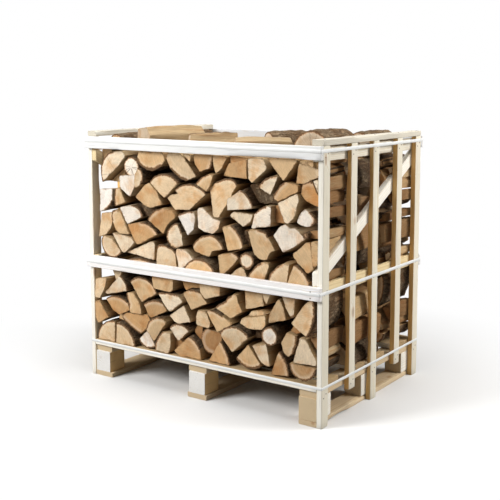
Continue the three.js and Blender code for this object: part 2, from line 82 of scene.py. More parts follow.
# Firewood: the ends of the split logs seen from the front, as closed outlines turning
# anticlockwise. [x, z] corners in millimetres, with a third number where the edge that starts
# there is a bark arc of that rise. Heights are on the front view's own scale, through LOG_Z.
LOG_Z = 0.987
LOGS = {
    "a01": [[-548, 159], [-446, 159], [-448, 250, 30]],
    "a02": [[-434, 159], [-326, 159, 28], [-434, 248]],
    "a03": [[-318, 190, 22], [-226, 174], [-270, 238]],
    "a04": [[-220, 165], [-150, 159], [-140, 172], [-134, 250], [-178, 248, 10]],
    "a05": [[-125, 176], [-98, 160], [16, 160], [10, 205, 6], [-45, 250]],
    "a06": [[-150, 270], [-103, 218], [-45, 272, 20]],
    "a07": [[-225, 198], [-156, 290], [-172, 304, 24], [-267, 246]],
    "a08": [[-408, 272, 5], [-312, 216], [-268, 246], [-253, 283], [-268, 302], [-385, 297]],
    "a09": [[-492, 346], [-450, 297], [-418, 283], [-360, 310], [-372, 345, 18]],
    "a10": [[-358, 300], [-292, 303], [-302, 345], [-338, 392], [-376, 384, 3], [-360, 335]],
    "a11": [[-360, 436], [-302, 352], [-216, 402, 40]],
    "a12": [[-492, 372], [-480, 366], [-366, 394, 8], [-405, 458]],
    "a13": [[-462, 480], [-437, 429], [-405, 462], [-403, 482]],
    "a14": [[-549, 345], [-518, 345], [-485, 395], [-474, 437], [-538, 430]],
    "a15": [[-549, 325], [-546, 250], [-532, 232], [-468, 268], [-525, 333]],
    "a17": [[-290, 346], [-265, 305], [-250, 291], [-162, 334], [-190, 368, 12]],
    "a18": [[-200, 408], [-163, 355], [-138, 336], [-72, 388], [-100, 411, 5]],
    "a19": [[-146, 320], [-120, 298], [-98, 291], [-34, 309], [-68, 373]],
    "a20": [[-77, 422], [-36, 357], [44, 394], [8, 436, 3], [-45, 440]],
    "a21": [[-235, 490], [-225, 424], [-135, 418], [-118, 432], [-118, 490]],
    "a22": [[-104, 486], [-72, 430], [-40, 446], [6, 449], [8, 486]],
    "a23": [[12, 486], [12, 440], [34, 412], [110, 436], [114, 486]],
    "a24": [[86, 388], [164, 355], [222, 390], [198, 424], [192, 452], [164, 446, 3], [140, 418, 3]],
    "a25": [[220, 486], [228, 399], [312, 422], [300, 486]],
    "a26": [[303, 488], [330, 431], [356, 488]],
    "a27": [[336, 362], [412, 382], [395, 445], [380, 462], [338, 395]],
    "a28": [[388, 488], [410, 428], [432, 394, 2], [445, 402], [452, 488]],
    "a29": [[440, 378], [510, 334, 16], [534, 488], [500, 462]],
    "a30": [[238, 374], [290, 380], [332, 396], [300, 404], [252, 394]],
    "a31": [[205, 342], [250, 327], [308, 330], [326, 352], [322, 388], [218, 365]],
    "a32": [[305, 311, 37], [379, 311, 37]],
    "a33": [[388, 292], [400, 255], [420, 243], [440, 262, 6], [456, 330], [412, 336]],
    "a34": [[450, 230], [546, 232], [548, 250], [505, 325], [478, 330]],
    "a35": [[434, 226, 56], [549, 224]],
    "a36": [[346, 162], [428, 170, 10], [385, 262], [368, 225]],
    "a37": [[264, 264], [306, 203], [346, 194], [338, 245], [328, 279], [292, 268]],
    "a38": [[240, 262], [180, 194, 24], [300, 184]],
    "a39": [[112, 288], [168, 218], [250, 292, 36]],
    "a40": [[42, 366], [95, 286], [172, 333], [120, 358, 3], [62, 374]],
    "a41": [[-10, 300], [56, 297], [60, 322], [38, 360], [-4, 363], [-12, 330]],
    "a42": [[34, 292, 42], [62, 187], [108, 250], [108, 278]],
    "a43": [[46, 162], [155, 162, 8], [108, 254]],
    "b01": [[-505, 618, 60], [-400, 556], [-450, 608]],
    "b02": [[-452, 634], [-392, 555], [-378, 556], [-325, 605], [-345, 626], [-410, 632]],
    "b03": [[-376, 558], [-228, 538], [-226, 608], [-240, 618]],
    "b04": [[-372, 524], [-340, 484], [-240, 482], [-212, 522, 18]],
    "b05": [[-214, 540], [-205, 495], [-106, 495], [-113, 583, 5], [-150, 603, 4], [-190, 608, 2],
            [-206, 598]],
    "b06": [[-102, 560], [-96, 510], [-18, 566], [-60, 600], [-104, 603], [-111, 583]],
    "b07": [[-68, 522], [-30, 484], [50, 484], [88, 534, 46]],
    "b08": [[97, 597], [106, 510], [124, 523], [190, 588], [192, 597, 3], [170, 612]],
    "b09": [[150, 520], [170, 484], [222, 484], [232, 522], [220, 553], [205, 561], [185, 552]],
    "b10": [[240, 520], [262, 490], [300, 490], [338, 580], [334, 592], [300, 590, 8]],
    "b11": [[326, 520], [345, 490], [405, 490], [426, 597], [388, 594, 10]],
    "b12": [[420, 520], [435, 490], [505, 490], [516, 545, 8], [450, 602]],
    "b13": [[522, 562], [527, 524], [549, 524], [549, 574, 4]],
    "b14": [[440, 636], [456, 612], [506, 572], [530, 588], [516, 692], [498, 686]],
    "b15": [[526, 598], [549, 606], [549, 694], [521, 692]],
    "b16": [[352, 698], [378, 662], [394, 637], [440, 660], [490, 697], [442, 738], [426, 730],
            [402, 747], [374, 728]],
    "b17": [[486, 713, 12], [510, 713, 12]],
    "b18": [[242, 704], [266, 622], [292, 602], [326, 600], [342, 636], [364, 640], [332, 690, 10],
            [290, 712], [252, 712]],
    "b19": [[199, 588, 32], [269, 590, 31]],
    "b20": [[128, 712], [152, 618], [216, 634], [226, 650, 8], [170, 722]],
    "b21": [[-16, 597], [54, 583], [66, 607], [126, 621, 8], [74, 671, 16], [-30, 622]],
    "b22": [[-155, 645, 10], [-112, 602], [-68, 618], [-76, 670, 8], [-108, 706, 10]],
    "b23": [[-98, 738], [-46, 660], [-14, 690], [-4, 735], [-18, 762, 4]],
    "b24": [[3, 695], [38, 680], [72, 677], [98, 700], [108, 731], [72, 738], [50, 756], [18, 778],
            [-2, 772]],
    "b25": [[-250, 708], [-166, 655], [-148, 690], [-100, 733], [-118, 754], [-175, 762, 10]],
    "b26": [[-410, 746], [-368, 677], [-286, 715, 14], [-345, 761]],
    "b27": [[-366, 678], [-345, 635], [-320, 597], [-300, 600], [-202, 652, 12], [-290, 693]],
    "b28": [[-448, 722, 3], [-446, 690], [-424, 648], [-400, 635], [-350, 637], [-400, 728],
            [-430, 735, 3]],
    "b29": [[-538, 606], [-492, 622], [-460, 660], [-452, 722], [-518, 712]],
    "b30": [[-520, 718], [-486, 730, 5], [-446, 768], [-440, 824], [-512, 818]],
    "b31": [[-434, 750], [-376, 770], [-405, 826], [-432, 825, 4]],
    "b32": [[-414, 880], [-408, 828], [-352, 794], [-322, 848], [-318, 888]],
    "b33": [[-320, 855], [-312, 833], [-285, 850, 4], [-270, 885, 6], [-298, 920], [-316, 893]],
    "b34": [[-388, 918, 43], [-302, 920, 43]],
    "b35": [[-503, 849], [-403, 926], [-368, 965], [-385, 985], [-440, 980, 36]],
    "b36": [[-306, 952, 28], [-182, 928], [-160, 955], [-170, 1000], [-285, 1004]],
    "b37": [[-160, 965], [-134, 918, 6], [-60, 878], [-8, 898], [-90, 998], [-140, 1000]],
    "b38": [[-80, 1000], [-28, 955], [-22, 1000]],
    "b39": [[-16, 1000], [-14, 955], [14, 917], [62, 935, 3], [72, 960], [66, 1002]],
    "b40": [[72, 1000], [80, 945], [90, 914], [118, 935], [150, 990], [120, 1008]],
    "b41": [[132, 910], [243, 905], [240, 978], [158, 960]],
    "b42": [[152, 1002], [160, 954], [240, 964], [238, 1010]],
    "b43": [[244, 1000], [246, 905], [262, 888], [330, 948], [306, 1005]],
    "b44": [[320, 1000], [356, 955], [400, 904], [462, 985], [440, 1008]],
    "b45": [[450, 900], [480, 900], [549, 928, 3], [549, 952], [520, 968], [462, 974]],
    "b46": [[468, 1000], [472, 978], [528, 962], [530, 1000], [510, 1012]],
    "b47": [[286, 875], [340, 850], [373, 918], [360, 925, 3], [310, 903, 4]],
    "b48": [[350, 838], [374, 828], [462, 868], [466, 895], [402, 903, 5]],
    "b49": [[376, 822], [412, 750], [424, 750], [452, 778], [470, 840], [462, 864]],
    "b50": [[472, 862], [492, 838], [548, 818], [549, 850], [516, 910, 4], [478, 900]],
    "b51": [[526, 916], [549, 870], [549, 920]],
    "b52": [[455, 755], [492, 742], [522, 750, 3], [538, 772, 3], [512, 800], [490, 808], [470, 790]],
    "b53": [[58, 857], [78, 745], [104, 742], [166, 838], [190, 880, 6], [150, 900, 3], [92, 884]],
    "b54": [[0, 869], [52, 843], [66, 862], [88, 914], [60, 912, 8]],
    "b55": [[-156, 803], [-118, 758], [-44, 762], [44, 834, 30], [-116, 840], [-101, 823],
            [-138, 820]],
    "b56": [[-166, 803], [-88, 868, 34], [-243, 864], [-205, 832]],
    "b57": [[-320, 796], [-272, 765], [-236, 756], [-172, 775], [-204, 830], [-243, 862],
            [-272, 845]],
    "b58": [[153, 756], [214, 718], [252, 740], [262, 770], [172, 775]],
    "b59": [[150, 778], [262, 792], [270, 802, 8], [216, 862], [150, 822]],
    "b60": [[256, 717], [343, 731], [343, 808], [318, 806, 3], [272, 778]],
}
LOG_LOOKS = {
    "white": "a03 a32 b06 b16 b23 b24 b26 b30 b32 b34 b52 b60",
    "pale": "a06 a12 a18 a19 a34 a37 b02 b03 b19 b22 b35 b43 b47 b49 b51 b58 b59",
    "cream": "a01 a02 a04 a13 a14 a23 a26 a28 a29 a30 a31 a39 a41 b01 b04 b05 b09 b10 b11 b13 b17 "
             "b29 b33 b37 b38 b53 b55 b56",
    "tan": "a07 a10 a11 a20 a21 a24 a25 a27 a33 a38 a40 b07 b08 b12 b14 b15 b18 b20 b21 b28 b31 "
           "b36 b40 b44 b45 b46 b54 b57",
    "orange": "a05 a08 a09 a15 a17 a22 a35 a36 a43 b25 b27 b39 b41 b42 b48 b50",
    "brown": "a42",
}
TINT_OF = {log: tint for tint, logs in LOG_LOOKS.items() for log in logs.split()}

# Logs whose bark shows as a wide band on the end, its width in millimetres, and those with checks.
BARK_BAND = {"a38": 11, "b36": 13, "b37": 11, "a02": 9, "a11": 8, "b01": 6, "b07": 8, "a42": 4}
CHECKED = "b34 b35".split()

# Logs that stand out of the stack or sit back in it, from the row's common end plane.
STANDING_OUT = {"a14": 14, "a15": 12, "a35": 9, "a29": 8, "a42": -16, "a22": -18, "b08": -8,
                "b09": -10}

# Logs seen only in the gaps between the others: outline, how far back the end is, and tint,
# or bark where it is the rough side of the log that shows.
SET_BACK = [
    ([[252, 285], [300, 285], [306, 325], [256, 322]], 35, "bark"),
    ([[-440, 262], [-405, 255], [-392, 290], [-425, 284]], 15, "tan"),
    ([[-40, 262], [5, 225], [2, 290], [-30, 290]], 30, "brown"),
    ([[-138, 165], [-105, 185], [-60, 235], [-105, 215], [-130, 248]], 25, "brown"),
    ([[508, 330], [549, 262], [550, 338]], 15, "brown"),
    ([[425, 342], [452, 335], [492, 350], [448, 374]], 10, "brown"),
    ([[232, 878], [270, 815], [300, 810], [372, 820], [340, 848], [286, 872], [262, 886]], 30, "bark"),
    ([[346, 742], [408, 744], [392, 780], [370, 810], [346, 808]], 30, "brown"),
    ([[-492, 849], [-412, 847], [-408, 915]], 40, "tan"),
    ([[-540, 955], [-505, 930], [-478, 962], [-470, 1000], [-530, 1000]], 30, "tan"),
    ([[-285, 718], [-250, 712], [-225, 752], [-262, 772], [-310, 765]], 25, "bark"),
    ([[205, 660], [232, 640], [246, 690], [215, 705]], 20, "bark"),
    ([[505, 700], [551, 700], [551, 735], [500, 728]], 20, "brown"),
    ([[525, 812], [551, 770], [551, 818]], 25, "brown"),
]

# Loose logs laid over the stack: centre [x, y], foot height, heading, length and section.
HEAP = {
    "split_log_large": ([-238, -262], 983, 64, 250,
                        [[-60, 0], [58, 0], [70, 58], [34, 88], [-50, 78]]),
    "bark_log_left": ([-420, -250], 983, 80, 250, [[-50, 0], [50, 0, 56]]),
    "split_log_middle": ([-20, -262], 983, 44, 190,
                         [[-48, 0], [50, 0], [30, 66, 5], [-34, 52]]),
    "split_log_front": ([226, -268], 983, 38, 215, [[-46, 0], [46, 0], [42, 44], [-22, 58]]),
    "bark_log_middle": ([204, -58], 983, 56, 170, [[-66, 0], [66, 0, 72]]),
    "bark_log_right": ([434, -140], 983, 89, 232, [[-86, 0], [86, 0, 89]]),
    "bark_log_corner": ([452, 196], 963, 84, 195, [[-62, 0], [62, 0, 90]]),
    "split_log_rear": ([-428, 30], 963, 76, 258,
                       [[-62, 0], [60, 0], [50, 42], [-10, 74], [-48, 44]]),
    "bark_log_rear": ([-266, -80], 983, 64, 170, [[-40, 0], [40, 0, 66]]),
}


# Material nodes

class Value:
    """An output of a material's node: each sum, difference or product with it adds a Math node."""

    def __init__(self, nodes, socket):
        self.nodes, self.socket = nodes, socket

    def __add__(self, other):
        return self.nodes.math("ADD", self, other)

    def __sub__(self, other):
        return self.nodes.math("SUBTRACT", self, other)

    def __rsub__(self, other):
        return self.nodes.math("SUBTRACT", other, self)

    def __mul__(self, other):
        return self.nodes.math("MULTIPLY", self, other)

    def __truediv__(self, other):
        return self.nodes.math("DIVIDE", self, other)

    __radd__, __rmul__ = __add__, __mul__


class Nodes:
    """The node tree of a material or world: most methods add a node and give back its output."""

    def __init__(self, owner):
        self.owner = owner
        owner.use_nodes = True
        self.tree = owner.node_tree
        self.tree.nodes.clear()

    def add(self, kind, inputs=(), output=0, **settings):
        node = self.tree.nodes.new(kind)
        for key, value in settings.items():
            setattr(node, key, value)
        for key, value in dict(inputs).items():
            if isinstance(value, Value):
                self.tree.links.new(value.socket, node.inputs[key])
            else:
                node.inputs[key].default_value = value
        return Value(self, node.outputs[output])

    def attribute(self, name, output="Vector"):
        return self.add("ShaderNodeAttribute", output=output, attribute_name=name)

    def math(self, operation, *values):
        return self.add("ShaderNodeMath", enumerate(values), operation=operation)

    def vector(self, operation, *values, output=0):
        return self.add("ShaderNodeVectorMath", enumerate(values), output, operation=operation)

    def length(self, vector):
        return self.vector("LENGTH", vector, output="Value")

    def scaled(self, vector, x, y, z):
        return self.vector("MULTIPLY", vector, (x, y, z))

    def drawn(self, vector, share):
        """A place whose run along the grain counts for less, so a pattern on it is drawn out."""
        return self.scaled(vector, 1.0, 1.0, share)

    def split(self, vector):
        node = self.add("ShaderNodeSeparateXYZ", {0: vector}).socket.node
        return [Value(self, output) for output in node.outputs]

    def join(self, x, y, z=0.0):
        return self.add("ShaderNodeCombineXYZ", {0: x, 1: y, 2: z})

    def noise(self, vector, scale, detail=2.0, roughness=0.5, distortion=0.0, output=0):
        return self.add("ShaderNodeTexNoise",
                        {"Vector": vector, "Scale": scale, "Detail": detail,
                         "Roughness": roughness, "Distortion": distortion}, output)

    def cells(self, vector, scale, feature="F1"):
        return self.add("ShaderNodeTexVoronoi", {"Vector": vector, "Scale": scale}, feature=feature)

    def wave(self, run, pitch, phase=0.0):
        return self.math("SINE", run * (2 * math.pi / pitch) + phase)

    def range(self, value, low, high, to_low=0.0, to_high=1.0, smooth=True):
        """The value carried from one range to another, held at both ends."""
        return self.add("ShaderNodeMapRange",
                        {"Value": value, "From Min": low, "From Max": high, "To Min": to_low,
                         "To Max": to_high},
                        interpolation_type="SMOOTHSTEP" if smooth else "LINEAR")

    def mix(self, share, first, second, blend="MIX"):
        return self.add("ShaderNodeMix", {0: share, 6: first, 7: second}, 2, data_type="RGBA",
                        blend_type=blend)

    def stain(self, share, color, shade):
        """A colour multiplied by a shade, as far as share goes."""
        return self.mix(share, color, self.mix(1.0, color, shade, "MULTIPLY"))

    def scale(self, color, amount):
        """A colour made lighter or darker by a factor."""
        return self.add("ShaderNodeVectorMath", {0: color, "Scale": amount}, operation="SCALE")

    def bump(self, height, distance, strength):
        return self.add("ShaderNodeBump",
                        {"Height": height, "Distance": distance, "Strength": strength})

    def surface(self, shader, kind="Material"):
        """The material or world, with this shader as what is seen of it."""
        output = self.tree.nodes.new(f"ShaderNodeOutput{kind}")
        self.tree.links.new(shader.socket, output.inputs[0])
        return self.owner

    def finish(self, color, roughness, normal, specular, metallic=0.0):
        return self.surface(self.add("ShaderNodeBsdfPrincipled",
                                     {"Base Color": color, "Roughness": roughness, "Normal": normal,
                                      "Specular IOR Level": specular, "Metallic": metallic}))


def material(name):
    return Nodes(bpy.data.materials.new(name))


# Materials. Each wood reads the place of a point in its own log or board from the attribute
# "grain": across the grain from the pith in x and y, and along it in z. The attribute "look" holds
# a seed with the width of a log's bark band or the strength of a board's knots, and "depth" how
# far a point of a log's end is from the bark and from the rim, and the painted light on the log,
# which turns to painted shade deep in the stack.

OAK_RING = 0.0031
SPRUCE_RING = 0.0046
LOG_SAW_MARK = 0.0027
BOARD_SAW_MARK = 0.0034
EMBOSSING = 0.0024


def oak_end():
    """The sawn end of a log: rings and rays round the pith, pale sapwood and a rim of bark."""
    n = material("oak_end")
    x, y, _ = n.split(n.attribute("grain"))
    seed, band, checked = n.split(n.attribute("look"))
    rim, edge, painted_light = n.split(n.attribute("depth"))
    tint = n.attribute("tint", "Color")
    across = n.join(x, y, seed)
    radius = n.length(n.join(x, y))
    heading_x, heading_y, _ = n.split(n.vector("NORMALIZE", n.join(x, y)))
    turn = seed * 2.0
    cos, sin = n.math("COSINE", turn), n.math("SINE", turn)
    along, beside = x * cos + y * sin, y * cos - x * sin

    blotch = n.noise(across, 17.0, 3.0, 0.55)
    warm = n.noise(n.join(x, y, seed + 7.0), 14.0, 3.0, 0.6)
    wander = n.noise(across, 30.0, 2.0) * 5.0
    ring = n.wave(radius, OAK_RING, wander)
    bands = n.noise(n.join(radius * 95.0, seed), 1.0, 3.0, 0.65)
    ray = n.noise(n.join(heading_x * 30.0, heading_y * 30.0, seed), 1.0, 4.0, 0.7)
    fine = n.noise(across, 420.0, 3.0, 0.7)
    torn = n.noise(n.join(along * 330.0, beside * 45.0, seed), 1.0, 3.0, 0.65)

    sapwood = n.mix(0.28, tint, rgb(240, 228, 206))
    color = n.mix(n.range(rim, 0.009, 0.024), sapwood, tint)
    color = n.stain(n.range(warm, 0.46, 0.70) * 0.60, color, rgb(232, 192, 140))
    spread = rim + (warm - 0.5) * 0.030
    color = n.stain(n.range(spread, 0.002, 0.011, 0.55, 0.0), color, rgb(226, 176, 120))
    tone = (0.17 + blotch * 0.44 + bands * 0.34 + ray * 0.36 + torn * 0.62 + ring * 0.025
            + (fine - 0.5) * 0.14)
    worn = edge + (torn - 0.5) * 0.004
    tone = tone * n.range(worn, 0.0, 0.0022, 0.78, 1.0)
    # Painted shade on the ends that sit back in the stack.
    tone = tone * n.range(painted_light, 0.36, 0.70, 0.40, 1.0, smooth=False)
    color = n.scale(color, tone)
    # A patchy dark brown border round the rim of the end.
    dark_border = n.range(n.noise(across, 55.0, 4.0, 0.7), 0.47, 0.72, 0.0, 0.011, smooth=False) - edge
    color = n.mix(n.range(dark_border, 0.0, 0.003, 0.0, 0.5), color, rgb(118, 80, 46))

    ragged = (n.noise(across, 120.0, 4.0, 0.65) - 0.5) * 0.017
    bark_depth = (rim + ragged) / band
    inner = n.range(bark_depth, 0.80, 1.10, 1.0, 0.0)
    outer = n.range(bark_depth, 0.60, 0.90, 1.0, 0.0)
    color = n.mix(inner * 0.80, color, INNER_BARK)
    color = n.mix(outer * 0.90, color, n.mix(fine, BARK_DARK, BARK_BROWN))

    course = n.noise(n.join(heading_x * 1.1, heading_y * 1.1, seed * 3.1), 1.0, 1.0)
    wobble = (n.noise(across, 75.0, 2.0) - 0.5) * 0.035
    aside = n.math("ABSOLUTE", course - (0.5 + wobble)) * radius
    width = n.noise(across, 28.0, 1.0) * 0.0009
    check = n.range(1.0 - aside / width, 0.0, 0.7) * checked * n.range(radius, 0.002, 0.012)
    color = n.mix(check * 0.6, color, rgb(84, 58, 38))

    saw = n.wave(beside, LOG_SAW_MARK, wander)
    height = (saw * 0.15 + ring * 0.10 + (fine + ray * 0.6) + torn * 1.4
              - (check * 3.0 + outer))
    return n.finish(color, n.range(blotch, 0.3, 0.7, 0.72, 0.9), n.bump(height, 0.0011, 0.8), 0.25)


def wood_place(n):
    """The place in a piece's wood, moved by the piece's seed so that no two are alike, and how far
    it was moved."""
    seed = n.split(n.attribute("look"))[0]
    offset = n.join(seed, seed, seed)
    return n.vector("ADD", n.attribute("grain"), offset), offset


def oak_split():
    """A split face: torn fibres along the log, darker streaks, and painted shade deep in the stack."""
    n = material("oak_split")
    painted_light = n.split(n.attribute("depth"))[2]
    tint = n.mix(0.50, n.attribute("tint", "Color"), rgb(208, 188, 156))
    place, _ = wood_place(n)
    drift = n.noise(place, 14.0, output="Color")
    bent = n.vector("ADD", place, n.scaled(drift, 0.010, 0.010, 0.0))
    fibre = n.noise(n.drawn(bent, 0.05), 300.0, 3.0, 0.6)
    thread = n.noise(n.drawn(bent, 0.025), 1000.0)
    streak = n.noise(n.drawn(bent, 0.08), 60.0, 3.0, 0.6, 0.3)
    fleck = n.noise(n.drawn(place, 0.35), 95.0)
    # Painted shade: deep in the stack the split faces turn darker and warmer, and lose their pale
    # flecks.
    tone = (0.35 + fibre * 0.50 + streak * 0.42 + thread * 0.14) * painted_light
    shade_hue = n.mix(n.range(painted_light, 0.4, 0.9, smooth=False), rgb(238, 194, 140), rgb(248, 238, 218))
    color = n.scale(n.mix(1.0, tint, shade_hue, "MULTIPLY"), tone)
    color = n.stain(n.range(streak, 0.50, 0.70) * 0.60, color, rgb(214, 180, 144))
    color = n.mix(n.range(fleck, 0.62, 0.78) * (painted_light * 0.18), color, rgb(238, 222, 190))
    height = fibre * 1.2 + thread * 0.5 + streak
    return n.finish(color, n.range(fibre, 0.3, 0.7, 0.9, 0.72), n.bump(height, 0.0026, 0.9), 0.25)


def oak_bark():
    """Bark: rough ridges that run along the log and break up, with dark furrows between them."""
    n = material("oak_bark")
    painted_light = n.split(n.attribute("depth"))[2]
    place, _ = wood_place(n)
    drift = n.noise(place, 42.0, 4.0, output="Color")
    bent = n.vector("ADD", n.drawn(place, 0.30), n.scaled(drift, 0.022, 0.022, 0.016))
    furrow = n.math("ABSOLUTE", n.noise(bent, 62.0, 4.0, 0.55) - 0.5)
    breaks = n.cells(n.drawn(bent, 1.6), 60.0, "DISTANCE_TO_EDGE")
    ridge = n.range(furrow, 0.005, 0.115) * n.range(breaks, 0.0, 0.10, 0.45, 1.0)
    broad = n.noise(place, 16.0, 4.0, 0.6)
    fine = n.noise(n.drawn(place, 0.6), 300.0, 4.0, 0.75)
    crest = n.mix(n.range(broad, 0.38, 0.62), BARK_BROWN, BARK_GREY)
    color = n.mix(n.range(ridge, 0.0, 1.0, 0.38, 1.0, smooth=False), BARK_DARK, crest)
    # Painted shade on bark deep in the stack.
    color = n.scale(color, painted_light * (0.45 + fine * 1.1))
    height = ridge + fine * 0.55 + broad * 0.8
    return n.finish(color, 0.93, n.bump(height, 0.0050, 0.95), 0.2)


def spruce(end=False):
    """Sawn spruce: growth rings cut along the board, fine fibres, saw marks and a few knots."""
    n = material("spruce_end" if end else "spruce_face")
    grain = n.attribute("grain")
    x, y, z = n.split(grain)
    knotty = n.split(n.attribute("look"))[1]
    tint = n.attribute("tint", "Color")
    place, offset = wood_place(n)
    wave = n.noise(n.drawn(place, 0.10), 11.0)
    knots = n.cells(n.vector("ADD", n.scaled(grain, 9.0, 9.0, 3.6), offset), 1.0)
    near = n.range(knots, 0.04, 0.26, 1.0, 0.0)
    radius = n.length(n.join(x, y))
    ring = n.math("FRACT", (radius + wave * 0.020 + near * 0.010) / SPRUCE_RING)
    late = n.range(ring, 0.35, 0.92) * n.range(ring, 0.94, 1.0, 1.0, 0.0)
    fibre = n.noise(n.drawn(place, 0.018), 800.0)
    cloud = n.noise(n.drawn(place, 0.25), 14.0, 3.0)
    color = n.stain(late * (0.60 if end else 0.42), tint, rgb(228, 208, 172))
    color = n.scale(color, (0.83 + fibre * 0.16 + cloud * 0.18) * (0.92 if end else 1.0))
    streak = n.noise(n.drawn(place, 0.035), 150.0, 2.0, 0.6)
    color = n.stain(n.range(streak, 0.60, 0.74, 0.0, 0.5), color, rgb(206, 204, 208))
    knot = n.range(knots + wave * 0.03, 0.070, 0.115, 1.0, 0.0)
    color = n.mix(knot * knotty, color,
                  n.mix(n.range(knots, 0.02, 0.07), rgb(112, 74, 44), rgb(176, 126, 80)))
    marks = n.wave(z, BOARD_SAW_MARK, wave * 9.0)
    height = marks * 0.16 + fibre * 0.8 + late * 0.35
    return n.finish(color, 0.72, n.bump(height, 0.0006, 0.6), 0.25)


def strap_plastic():
    """White plastic band with a fine crossed embossing."""
    n = material("strap_plastic")
    grain = n.attribute("grain")
    x, _, z = n.split(grain)
    emboss = n.math("MAXIMUM", n.wave(x + z, EMBOSSING), n.wave(x - z, EMBOSSING))
    scuff = n.noise(n.drawn(grain, 0.15), 60.0, 3.0)
    color = n.mix(n.range(scuff, 0.35, 0.75), rgb(240, 241, 240), rgb(224, 226, 224))
    color = n.scale(color, 0.97 + emboss * 0.03)
    return n.finish(color, n.range(scuff, 0.3, 0.7, 0.32, 0.5), n.bump(emboss, 0.00015, 0.6), 0.5)


def nail_steel():
    """Dull wire-nail steel, a little rusty."""
    n = material("nail_steel")
    rust = n.noise(n.add("ShaderNodeNewGeometry"), 900.0, 3.0)
    color = n.mix(n.range(rust, 0.45, 0.7), rgb(96, 94, 92), rgb(112, 78, 52))
    return n.finish(color, 0.55, n.bump(rust, 0.0002, 0.4), 0.5, 0.6)


OAK = [oak_end(), oak_split(), oak_bark()]
SPRUCE = [spruce(), spruce(end=True)]
STRAP = [strap_plastic()]
STEEL = [nail_steel()]
END, SIDE, BARK = 0, 1, 2


# Mesh helpers

def new_object(name, data):
    thing = bpy.data.objects.new(name, data)
    bpy.context.scene.collection.objects.link(thing)
    return thing


def value_noise(points, seed):
    """Smooth noise from -1 to 1 over points (n, 3), one lattice cell to the unit. Large odd
    factors scatter the places of the lattice into random-looking numbers."""
    cell = np.floor(points).astype(np.int64)
    share = points - cell
    share = share * share * (3 - 2 * share)
    total = np.zeros(len(points))
    for corner in product((0, 1), repeat=3):
        mixed = (cell + corner) @ np.array([73856093, 19349663, 83492791]) + int(seed * 7919)
        mixed = (mixed ^ (mixed >> 13)) * 1274126177 & 0x7fffffff
        mixed = (mixed ^ (mixed >> 15)) * 461845907 & 0x7fffffff
        weight = np.where(corner, share, 1 - share).prod(axis=1)
        total += weight * (mixed / 0x3fffffff - 1)
    return total


def outward(path):
    """The unit direction out of a closed path at each of its points."""
    run = np.roll(path, -1, 0) - np.roll(path, 1, 0)
    return np.column_stack([run[:, 1], -run[:, 0]]) / np.linalg.norm(run, axis=1)[:, None]


def ease(value, low, high):
    """0 below low, 1 above high and a smooth rise between them."""
    t = np.clip((value - low) / (high - low), 0, 1)
    return t * t * (3 - 2 * t)


def tube(rings, around, closed=False):
    """Four-sided faces between each ring of points and the next, and round to the first where
    the tube is closed."""
    faces = []
    for j in range(rings if closed else rings - 1):
        here, after = j * around, (j + 1) % rings * around
        for i in range(around):
            k = (i + 1) % around
            faces.append([here + i, after + i, after + k, here + k])
    return faces


def solid(rings, around):
    """The faces of a tube the other way round, and its two ends."""
    sides = [[a, d, c, b] for a, b, c, d in tube(rings, around)]
    last = range((rings - 1) * around, rings * around)
    return sides + [list(range(around))[::-1], list(last)]


class Parts:
    """Gathers the vertices, faces and attributes of one piece, all in millimetres."""

    def __init__(self):
        self.points, self.faces, self.kinds = [], [], []
        self.attributes = {"grain": [], "look": [], "depth": [], "tint": []}
        self.count = 0

    def add(self, points, faces, grain, look, depth=(0, 0, 0), tint=(1, 1, 1, 1), kinds=None):
        """Adds a closed body. The look, depth and tint may be one for all of its points."""
        many = len(points)
        self.points.append(points)
        self.faces += [[i + self.count for i in face] for face in faces]
        self.kinds += kinds or [0] * len(faces)
        values = (grain * MM, look, np.array(depth) * [MM, MM, 1], tint)
        for (key, gathered), value in zip(self.attributes.items(), values):
            gathered.append(np.broadcast_to(value, (many, 4 if key == "tint" else 3)))
        self.count += many

    def piece(self, name, materials, node=None, slot=None, sharp=38):
        """Makes the object, which rides on the crate and stands for the given node."""
        mesh = bpy.data.meshes.new(name)
        mesh.from_pydata((np.vstack(self.points) * MM).tolist(), [], self.faces)
        for material in materials:
            mesh.materials.append(material)
        mesh.polygons.foreach_set("material_index", self.kinds)
        mesh.polygons.foreach_set("use_smooth", [True] * len(self.faces))
        for key, values in self.attributes.items():
            kind, field = ("FLOAT_COLOR", "color") if key == "tint" else ("FLOAT_VECTOR", "vector")
            layer = mesh.attributes.new(key, kind, "POINT")
            layer.data.foreach_set(field, np.vstack(values).astype(np.float32).ravel())
        mesh.update()
        mesh.set_sharp_from_angle(angle=math.radians(sharp))
        thing = new_object(name, mesh)
        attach(thing, "root")
        if node:
            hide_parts(node)


def cad_span(node):
    """The low and high corner of a node's box, in millimetres."""
    return (np.array(corner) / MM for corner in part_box(node))


# Firewood

LOG_LENGTH = 258.0
DECK_TOP = 156.5
ROW_Y = 395.0                   # how far out the log ends of the front and rear rows are
FRONT_TOP = 978.5               # where the front row is cut off, behind the front top board,
FLAT_TOP = 961.5                # and the rows behind it, under the loose logs
STACK_X = 550.5                 # how far out logs may reach, up to the posts,
SIDE_CLEAR_X = 527.5            # and behind the inner boards and braces
FACE_CLEAR_Y = 404.5            # how far out logs may reach behind the front boards,
FACE_BULGE = 20                 # and how much farther over and under them
BRACE_RISE = 0.507
BRACE_FOOT = (-312, 564)        # y and z where the right brace's lower edge starts
BRACE_WIDTH = 48 * math.hypot(1, BRACE_RISE)
SWELL = 2.2                     # how much a log's middle is thicker than its ends
DRIFT = 3.0                     # how much its rear end may lie aside of its front end
PLAIN_BARK = 7.0                # width of the bark band where a log has none of its own
NO_BARK = 60.0                  # a distance from the bark that shows none of it
PITH_BEYOND = 12
EDGE_ROUND = 0.7
OPEN_SIDE_LIGHT = (508, 530)          # from where to where logs at the open sides get painted light
STACK_SHADE_DEPTHS = (4, 70)             # from how deep to how deep in the stack the painted shade grows
